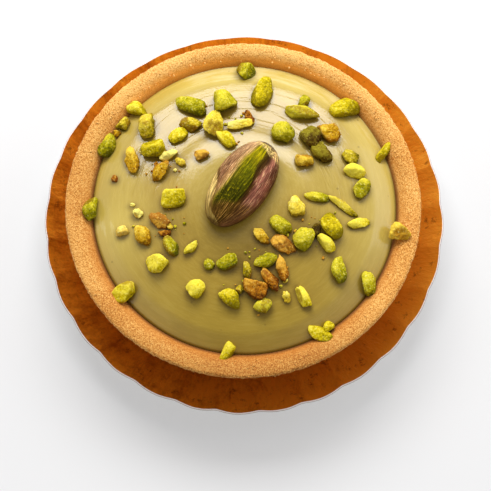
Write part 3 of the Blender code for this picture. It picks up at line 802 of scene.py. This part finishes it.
def makeKernel():
    # Half-widths by kernelGirth; wrinkles run lengthways, and the crease is a narrow groove.
    turn = np.linspace(0, math.pi, kernel["rows"] + 2)[1:-1, None]
    along = -np.cos(turn)
    girth = kernelGirth(along)
    bearing = bearings(kernel["columns"])[None, :]
    half = 0.5 * np.array([kernel["length"], kernel["width"], kernel["height"]])
    along, girth, cosine, sine = np.broadcast_arrays(along, girth, np.cos(bearing), np.sin(bearing))
    local = half * np.stack([along, girth * cosine, girth * sine], axis=-1)
    outward = local / half**2
    outward /= np.linalg.norm(outward, axis=-1, keepdims=True)
    around = np.stack([2.6 * along, 5 * cosine, 5 * sine], axis=-1)
    wrinkle = kernel["wrinkle"] * fractalNoise(around * (0.4, 1, 1), 0.5, 51, 3) * np.sqrt(girth)
    lump = kernel["lumps"] * fractalNoise(around, 3.0, 52, 2) * girth
    across = cosine * girth
    creaseAt, fleshAt, huskAt = (smoothLine(line, along) for line in (creaseLine, fleshLine, huskLine))
    groove = kernel["groove"] * bell((across - creaseAt) / 0.07) * smoothStep(0.0, 0.35, sine)
    groove = groove * smoothStep(-0.75, -0.2, along) * smoothStep(0.95, 0.75, along)
    local = local + outward * (wrinkle + lump - groove)[..., None]
    c, s = math.cos(kernel["turn"]), math.sin(kernel["turn"])
    rotation = np.array([[c, s, 0], [-s, c, 0], [0, 0, 1]])
    centre = np.array([*kernel["place"], kernel["level"]])
    poles = [centre + np.array([c, s, 0]) * end * half[0] for end in (-1, 1)]
    piece = ringPiece("wholeKernel", local @ rotation + centre, *poles, along=along, cosine=cosine, sine=sine,
                      zone=(across - creaseAt) / (fleshAt - creaseAt),
                      husk=np.clip((across - huskAt) / 0.12, -2, 2))
    dressPiece(piece, kernelMaterial(), "pistachio", "pistachio")


# Colours by zone: below 0 the purple skin, 0 the crease, 1 the border to the tan skin.
kernelZones = ((-1.0, (0.12, 0.035, 0.014)), (-0.62, (0.28, 0.09, 0.052)), (-0.3, (0.39, 0.14, 0.09)),
               (-0.11, (0.19, 0.065, 0.035)), (-0.04, (0.045, 0.016, 0.002)), (0.05, (0.05, 0.038, 0.001)),
               (0.14, (0.09, 0.086, 0.001)), (0.5, (0.112, 0.112, 0.001)), (0.86, (0.12, 0.107, 0.001)),
               (0.98, (0.30, 0.21, 0.025)), (1.08, (0.42, 0.24, 0.08)), (1.25, (0.31, 0.15, 0.055)),
               (1.5, (0.21, 0.09, 0.04)), (2.0, (0.28, 0.14, 0.055)))
# The shaded colour is painted shade on the purple skin's side.
kernelTints = dict(stripe=(0.74, 0.50, 0.24), shaded=(0.10, 0.032, 0.014), wedge=(0.05, 0.022, 0.003),
                   young=(0.33, 0.26, 0.001), old=(0.034, 0.032, 0.001), blunt=(0.11, 0.05, 0.007),
                   bluntStripe=(0.44, 0.22, 0.05), husk=(0.86, 0.62, 0.20), huskLine=(0.12, 0.06, 0.01),
                   huskStripe=(0.22, 0.12, 0.02), huskEnd=(0.34, 0.22, 0.04), grains=(0.85, 0.60, 0.20),
                   # The last colour is a painted contact shadow low on the kernel.
                   cap=(0.10, 0.065, 0.045), contactShade=(0.10, 0.045, 0.008))


def kernelNoise(tree, stretch, *numbers):
    # Noise on the cosine and sine of the girth and slowly along the kernel, so that it makes long streaks.
    along, cosine, sine = (attributeNode(tree, name) for name in ("along", "cosine", "sine"))
    return noiseNode(joinPlace(times(along, stretch), cosine, sine), *numbers)


def kernelMiddle(along, bent, streak, dash, broad, grain):
    # Colours by zone. The flesh is yellower towards the tip, darker towards the blunt end and mottled;
    # painted shade darkens the purple skin low on its side, and the tan skin is paler at the tip; both skins
    # have pale streaks; and the crease widens to a dark wedge towards the tip.
    tints = kernelTints
    share = spread(bent, -1.0, 2.0, steps="LINEAR")
    colour = rampNode(share, [((at + 1) / 3, tint) for at, tint in kernelZones])
    flesh = times(spread(bent, 0.05, 0.2), spread(bent, 1.0, 0.86))
    young = times(spread(along, 0.2, 0.7), spread(broad, 0.42, 0.56, 0.35, 1.0))
    old = spread(along, 0.15, -0.4, 0.0, 0.9)
    mottle = times(spread(grain, 0.5, 0.66, 0.0, 0.5), spread(streak, 0.44, 0.56, 0.2, 1.0))
    # Painted shade on the purple skin low on its side.
    shaded = times(spread(bent, -0.3, -0.7, 0.0, 0.9), spread(along, 0.1, 0.5))
    pale = times(spread(bent, 1.0, 1.1), spread(along, 0.1, 0.8, 0.0, 0.28))
    skin = plus(spread(bent, -0.05, -0.15), spread(bent, 1.0, 1.1))
    dashes = times(spread(dash, 0.54, 0.64, 0.0, 0.5), skin)
    wide = spread(along, -0.1, 0.75, 0.05, 0.34)
    wedge = calculate("DIVIDE", calculate("ABSOLUTE", bent), wide)
    return layColours(colour, (times(flesh, young), tints["young"]),
                      (times(flesh, old), tints["old"]), (times(flesh, mottle), tints["young"]),
                      (shaded, tints["shaded"]), (pale, tints["stripe"]), (dashes, tints["stripe"]),
                      (spread(wedge, 0.5, 1.2, 0.85, 0.0), tints["wedge"]))


def kernelEnds(tree, colour, along, zone, bent, streak, grain):
    # The blunt end's streaky brown skin on a slanting border, the husk's pale ribbed rim with a dark line
    # inside it, pale grains and a grey cap at the tip, and a painted contact shadow low on the sides and
    # at the blunt end.
    tints = kernelTints
    slanted = plus(along, times(zone, 0.3))
    blunt = times(spread(slanted, -0.36, -0.58, 0.0, 0.85), spread(bent, -0.9, -0.3))
    bluntStripe = times(blunt, spread(streak, 0.53, 0.62, 0.0, 0.8))
    husk = plus(attributeNode(tree, "husk"), swing(streak, 2.4))
    huskLine = times(spread(husk, -0.5, 0.0, 0.0, 0.8), spread(husk, 0.7, 0.2))
    rib = spread(kernelNoise(tree, 0.25, 11.0, 3.0, 0.65), 0.44, 0.56, 0.15, 1.0)
    rib = times(rib, spread(along, -0.45, -0.8, 0.55, 0.95))
    rim = mixColour(rib, tints["husk"], tints["huskStripe"])
    rim = mixColour(spread(along, -0.6, -0.88, 0.0, 0.6), rim, tints["huskEnd"])
    tip = minus(along, times(zone, 0.07))
    grains = times(spread(tip, 0.70, 0.80), spread(grain, 0.42, 0.60, 0.15, 1.0))
    cap = times(spread(along, 0.89, 0.93, 0.0, 0.85), spread(zone, -0.8, 0.0))
    # Painted contact shadow low on the sides and at the blunt end.
    contactShade = calculate("MAXIMUM", spread(attributeNode(tree, "sine"), 0.42, 0.08, 0.0, 0.75),
                        spread(along, -0.93, -0.985, 0.0, 0.75))
    return layColours(colour, (blunt, tints["blunt"]), (bluntStripe, tints["bluntStripe"]),
                      (huskLine, tints["huskLine"]), (spread(husk, 0.3, 0.7, 0.0, 0.9), rim),
                      (grains, tints["grains"]), (cap, tints["cap"]), (contactShade, tints["contactShade"]))


def kernelMaterial():
    # Its zones are a little shifted by streaks that run lengthways, which also lighten and darken it.
    material, tree, shader = newMaterial("kernelSkin", roughness=0.6, specularIorLevel=0.03)
    along, zone = attributeNode(tree, "along"), attributeNode(tree, "zone")
    streak = kernelNoise(tree, 0.15, 20.0, 5.0, 0.75)
    dash = kernelNoise(tree, 0.2, 27.0, 4.0, 0.65)
    broad = kernelNoise(tree, 0.5, 6.0, 3.0)
    grain = noiseNode(objectPlace(tree), 2600.0, 2.0)
    bent = plus(zone, plus(swing(streak, 0.35), swing(broad, 0.25)))
    colour = kernelMiddle(along, bent, streak, dash, broad, grain)
    colour = kernelEnds(tree, colour, along, zone, bent, streak, grain)
    shade = plus(times(streak, 0.6), times(dash, 0.4))
    shade = rampNode(shade, [(0.40, 0.35), (0.5, 0.94), (0.60, 1.75)])
    colour = mixColour(1.0, colour, shade, "MULTIPLY")
    normal = addBump(grain, 0.3, 0.2 * mm, addBump(streak, 0.5, 0.3 * mm))
    feedShader(tree, shader, baseColor=colour, normal=normal)
    return material


makeKernel()

# Chopped nuts.
# The last entry is the direction from which painted light lightens every nut.
nuts = dict(heightShare=0.82, sunkShare=0.24, rows=34, columns=52, cuts=8, meanReach=0.87, sharpness=14,
            lumps=0.17, relief=0.13 * mm, grain=0.05 * mm, lightSide=(-0.35, 0.45, 0.82))
# By kind: colours of the foot in painted shade, the middle, the upper side in painted light, the bright
# specks and the skin; how often a face is skin; and how crumbly the nut is.
nutKinds = {
    "lime": dict(low=(0.22, 0.165, 0.001), middle=(0.55, 0.42, 0.002), high=(0.84, 0.70, 0.06),
                 speck=(0.97, 0.88, 0.30), skin=(0.30, 0.17, 0.003), skinShare=0.08, crumbly=1.0),
    "green": dict(low=(0.095, 0.09, 0.001), middle=(0.33, 0.285, 0.001), high=(0.66, 0.56, 0.03),
                  speck=(0.96, 0.88, 0.34), skin=(0.22, 0.11, 0.003), skinShare=0.12, crumbly=1.0),
    "olive": dict(low=(0.10, 0.075, 0.001), middle=(0.40, 0.29, 0.003), high=(0.76, 0.60, 0.05),
                  speck=(0.98, 0.87, 0.35), skin=(0.22, 0.09, 0.003), skinShare=0.25, crumbly=1.5),
    "golden": dict(low=(0.22, 0.085, 0.002), middle=(0.50, 0.27, 0.005), high=(0.78, 0.54, 0.05),
                   speck=(1.0, 0.84, 0.28), skin=(0.36, 0.13, 0.004), skinShare=0.25, crumbly=2.6),
    "brown": dict(low=(0.12, 0.03, 0.002), middle=(0.43, 0.16, 0.007), high=(0.70, 0.38, 0.04),
                  speck=(0.96, 0.72, 0.20), skin=(0.24, 0.06, 0.006), skinShare=0.35, crumbly=2.6),
    "pale": dict(low=(0.56, 0.38, 0.02), middle=(0.82, 0.63, 0.055), high=(0.93, 0.81, 0.18),
                 speck=(1.0, 0.95, 0.50), skin=(0.66, 0.38, 0.04), skinShare=0.08, crumbly=2.6),
    "dark": dict(low=(0.035, 0.018, 0.001), middle=(0.12, 0.068, 0.003), high=(0.25, 0.20, 0.012),
                 speck=(0.62, 0.54, 0.08), skin=(0.05, 0.013, 0.005), skinShare=0.45, crumbly=2.0),
}


def restHeight(x, y):
    # What a nut lies on: the cream, or the crust's inner roll and crown beyond it.
    radius = np.hypot(x, y)
    share = np.clip((crust["crownRadius"] - radius) / (crust["crownRadius"] - crust["hollow"]), 0, 1)
    roll = np.maximum(rollHeight(share), cream["edge"] + 0.6 * mm)
    return np.where(radius < 29.2 * mm, creamHeight(x, y), roll)


def nutShape(seed, kind, x, y, length, width, turn, lighter):
    # A ball cut back by seeded planes (a soft minimum of depth over cosine), swollen into lumps, roughened,
    # stretched, turned and laid on the slope under it. Its shade is painted light and shade: lighter on the
    # side facing the light and on bumps and edges, darker in hollows and at its foot.
    x, y, length, width = (size * mm for size in (x, y, length, width))
    draw = np.random.default_rng(seed)
    cuts = draw.normal(size=(nuts["cuts"], 3))
    cuts /= np.linalg.norm(cuts, axis=1)[:, None]
    depths = draw.uniform(0.5, 0.95, nuts["cuts"])
    polar = np.linspace(0, math.pi, nuts["rows"] + 2)[:, None]
    ball = ringPoints(np.sin(polar), np.cos(polar), bearings(nuts["columns"]))
    reach = np.minimum(depths / np.maximum(ball @ cuts.T, 1e-6), 1.4)
    reach = np.concatenate([reach, np.ones(reach.shape[:2] + (1,))], axis=-1)
    weight = np.exp(-nuts["sharpness"] * reach)
    soft = -np.log(weight.sum(axis=-1)) / nuts["sharpness"]
    weight /= weight.sum(axis=-1, keepdims=True)
    edge = 1 - smoothStep(0.4, 0.85, weight.max(axis=-1))
    face = weight @ draw.uniform(-1, 1, reach.shape[-1])
    skin = weight @ (draw.uniform(0, 1, reach.shape[-1]) < kind["skinShare"]).astype(float)
    height = nuts["heightShare"] * width
    solid = 0.5 * ball * (length, width, height) + 0.01 * seed
    lumps = fractalNoise(ball + 7.0 * seed, 0.8, seed, 2)
    relief = fractalNoise(solid, 0.8 * mm, seed + 1, 2)
    grain = latticeNoise(solid, 0.34 * mm, seed + 2)
    rough = kind["crumbly"] * (nuts["relief"] * relief + nuts["grain"] * grain)
    meanHalf = 0.5 * math.sqrt(length * width)
    radius = soft / nuts["meanReach"] * (1 + nuts["lumps"] * lumps) + rough / meanHalf
    step = 0.3 * length
    slopeX = (restHeight(x + step, y) - restHeight(x - step, y)) / (2 * step)
    slopeY = (restHeight(x, y + step) - restHeight(x, y - step)) / (2 * step)
    up = np.array([-float(slopeX), -float(slopeY), 1.0])
    up /= np.linalg.norm(up)
    turn = math.radians(turn)
    lengthways = np.array([math.cos(turn), math.sin(turn), 0.0])
    lengthways -= up * (lengthways @ up)
    lengthways /= np.linalg.norm(lengthways)
    axes = np.stack([lengthways * length, np.cross(up, lengthways) * width, up * height])
    centre = np.array([x, y, float(restHeight(x, y))]) + up * height * (0.5 - nuts["sunkShare"])
    points = centre + 0.5 * (ball * radius[..., None]) @ axes
    # Painted light on the side facing the light; painted shade at the foot.
    facingLight = (points - centre) @ np.array(nuts["lightSide"]) / (0.5 * height)
    low = smoothStep(0.3, -0.4, ball[..., 2] * radius)
    # Painted highlights on edges and bumps, painted shade in hollows, and random face tones.
    shade = 0.42 + 0.10 * face + 0.08 * edge + 0.08 * lumps + 0.10 * relief + 0.05 * grain + 0.24 * facingLight
    return points, shade - 0.15 * low + 0.01 * lighter, skin + 0.35 * relief


def makeNuts(tone, first):
    # All nuts of one kind, joined; the grid's first and last rings are the poles.
    parts = [[], [], [], [], []]
    for index, nut in enumerate(scatter[tone]):
        for part, grid in zip(parts, nutShape(first + index, nutKinds[tone], *nut)):
            part += [grid[1:-1].reshape(-1, *grid.shape[2:]), grid[:1, 0], grid[-1:, 0]]
        faces = ringFaces(nuts["rows"], nuts["columns"], index * (nuts["rows"] * nuts["columns"] + 2))
        for part, array in zip(parts[3:], faces):
            part.append(array)
    points, shade, skin, quads, triangles = map(np.concatenate, parts)
    piece = meshPiece(tone + "Nuts", points, quads, triangles, dict(shade=shade, skin=skin))
    dressPiece(piece, nutMaterial(tone), "nuts", "cream", "crust")


def nutMaterial(tone):
    # Three tones of its kind by the shade attribute's painted light and shade and a granular noise, patches
    # of skin, and bright specks, stronger where the painted light is.
    material, tree, shader = newMaterial(tone + "Nut", roughness=0.6, specularIorLevel=0.04)
    kind = nutKinds[tone]
    place = objectPlace(tree)
    grain, height = grainNode(place, fineScale=2800.0, coarseScale=1200.0, fineShare=0.5, contrast=1.7)
    shade = plus(attributeNode(tree, "shade"), grain)
    colour = rampNode(shade, [(0.12, kind["low"]), (0.44, kind["middle"]), (0.80, kind["high"])])
    blotch = swing(noiseNode(place, 1100.0, 3.0), 2.2)
    patch = spread(plus(attributeNode(tree, "skin"), blotch), 0.15, 1.15, 0.0, 0.75)
    dots = spread(noiseNode(place, 3200.0, 1.0), 0.58, 0.74, 0.0, 0.42)
    # The specks grow stronger with the painted light of the shade attribute.
    speck = times(dots, spread(shade, 0.15, 0.6, 0.3, 1.0))
    colour = layColours(colour, (patch, kind["skin"]), (speck, kind["speck"]))
    feedShader(tree, shader, baseColor=colour, normal=addBump(height, 0.5, 0.3 * mm))
    return material


for order, tone in enumerate(scatter):
    makeNuts(tone, 100 + 50 * order)

# Dust of the chopping.
dust = {"greenDust": dict(count=60, seed=81, tone="green"),
        "goldenDust": dict(count=60, seed=82, tone="brown")}


def makeDust(name, count, seed, tone):
    # Grains thrown about the heaps by a normal draw, where neither the kernel nor the crust is.
    draw = np.random.default_rng(seed)
    heap = np.array(heaps)[draw.integers(0, len(heaps), count)] * mm
    spot = heap[:, :2] + heap[:, 2:3] * draw.normal(0, 0.7, (count, 2))
    along, across = kernelLocal(spot[:, 0], spot[:, 1])
    clear = (np.hypot(along, across / (0.5 * kernel["width"])) > 1.1) & (np.hypot(*spot.T) < 28 * mm)
    spot = spot[clear]
    sizes = draw.uniform(0.3, 0.8, len(spot)) ** 1.3 * mm
    places = np.column_stack([spot, creamHeight(*spot.T) + 0.2 * sizes])
    shade = draw.uniform(0.35, 0.8, len(spot))
    piece = grainMesh(name, places, sizes, seed + 5, shade=shade, skin=0 * shade)
    dressPiece(piece, nutMaterial(tone), "nuts", "cream")


for name, settings in dust.items():
    makeDust(name, **settings)

# Stage: pale floor, soft light from behind and a weaker one from the right, camera.
view = dict(elevation=math.radians(71.8), distance=0.6, pixelsPerMm=5.07, imageSide=491,
            aim=(0.45 * mm, -7.4 * mm), lookLevel=16.5 * mm)
softboxes = {  # zenith and azimuth from the back, in degrees; distance and sides in m; power in W
    "backSoftbox": dict(zenith=41, azimuth=-4, distance=0.42, wide=0.374, tall=0.18, power=1.8),
    "rightSoftbox": dict(zenith=58, azimuth=65, distance=0.6, wide=0.40, tall=0.30, power=0.5),
}
fill = dict(dark=0.14, bright=0.92, lean=(0.0, 0.22, 0.0), reach=(1.0, 0.65, 0.0))


def makeFloor():
    side = 1.2
    corners = [(-side, -side, 0), (side, -side, 0), (side, side, 0), (-side, side, 0)]
    mesh = bpy.data.meshes.new("floor")
    mesh.from_pydata(corners, [], [(0, 1, 2, 3)])
    material = newMaterial("paleFloor", baseColor=(0.545, 0.545, 0.55, 1), roughness=0.9,
                           specularIorLevel=0.1, emissionColor=(1.0, 0.995, 0.99, 1),
                           emissionStrength=0.26)[0]
    mesh.materials.append(material)
    linkObject("floor", mesh)


def makeCamera():
    # Looks along +Y and down; the aim is where the picture's centre falls in the camera's own plane.
    data = bpy.data.cameras.new("camera")
    data.sensor_width = 36
    data.lens = view["pixelsPerMm"] / mm * view["distance"] / view["imageSide"] * data.sensor_width
    data.clip_end = 10
    camera = linkObject("camera", data)
    camera.rotation_euler = (math.pi / 2 - view["elevation"], 0, 0)
    sine, cosine = math.sin(view["elevation"]), math.cos(view["elevation"])
    along, up = view["aim"]
    target = np.array([along, sine * up, view["lookLevel"] + cosine * up])
    camera.location = target + view["distance"] * np.array([0, -cosine, sine])
    bpy.context.scene.camera = camera


def makeSoftbox(name, zenith, azimuth, distance, wide, tall, power):
    data = bpy.data.lights.new(name, "AREA")
    data.shape = "RECTANGLE"
    data.size, data.size_y, data.energy = wide, tall, power
    lamp = linkObject(name, data)
    zenith, azimuth = math.radians(zenith), math.radians(azimuth)
    out, up = distance * math.sin(zenith), distance * math.cos(zenith)
    lamp.location = ringPoints(out, up, math.pi / 2 - azimuth)
    lamp.rotation_euler = (-zenith, 0, -azimuth)


def makeFill():
    # White room, dark overhead and in front, brighter towards the back and both sides: its strength goes by
    # the length of (x, reach * y + lean) of the direction.
    world = bpy.data.worlds.new("studio")
    bpy.context.scene.world = world
    world.use_nodes = True
    tree = world.node_tree
    way = addNode(tree, "TexCoord").outputs["Generated"]
    moved = calculate("MULTIPLY_ADD", way, fill["reach"], fill["lean"], kind="VectorMath")
    length = calculate("LENGTH", moved, kind="VectorMath", output="Value")
    strength = spread(length, 0.1, 0.95, fill["dark"], fill["bright"])
    tree.links.new(strength, tree.nodes["Background"].inputs["Strength"])
    tree.nodes["Background"].inputs["Color"].default_value = (1, 1, 1, 1)
    bpy.context.scene.view_settings.view_transform = "Standard"


makeFloor()
makeCamera()
for name, settings in softboxes.items():
    makeSoftbox(name, **settings)
makeFill()
print("stage ready")
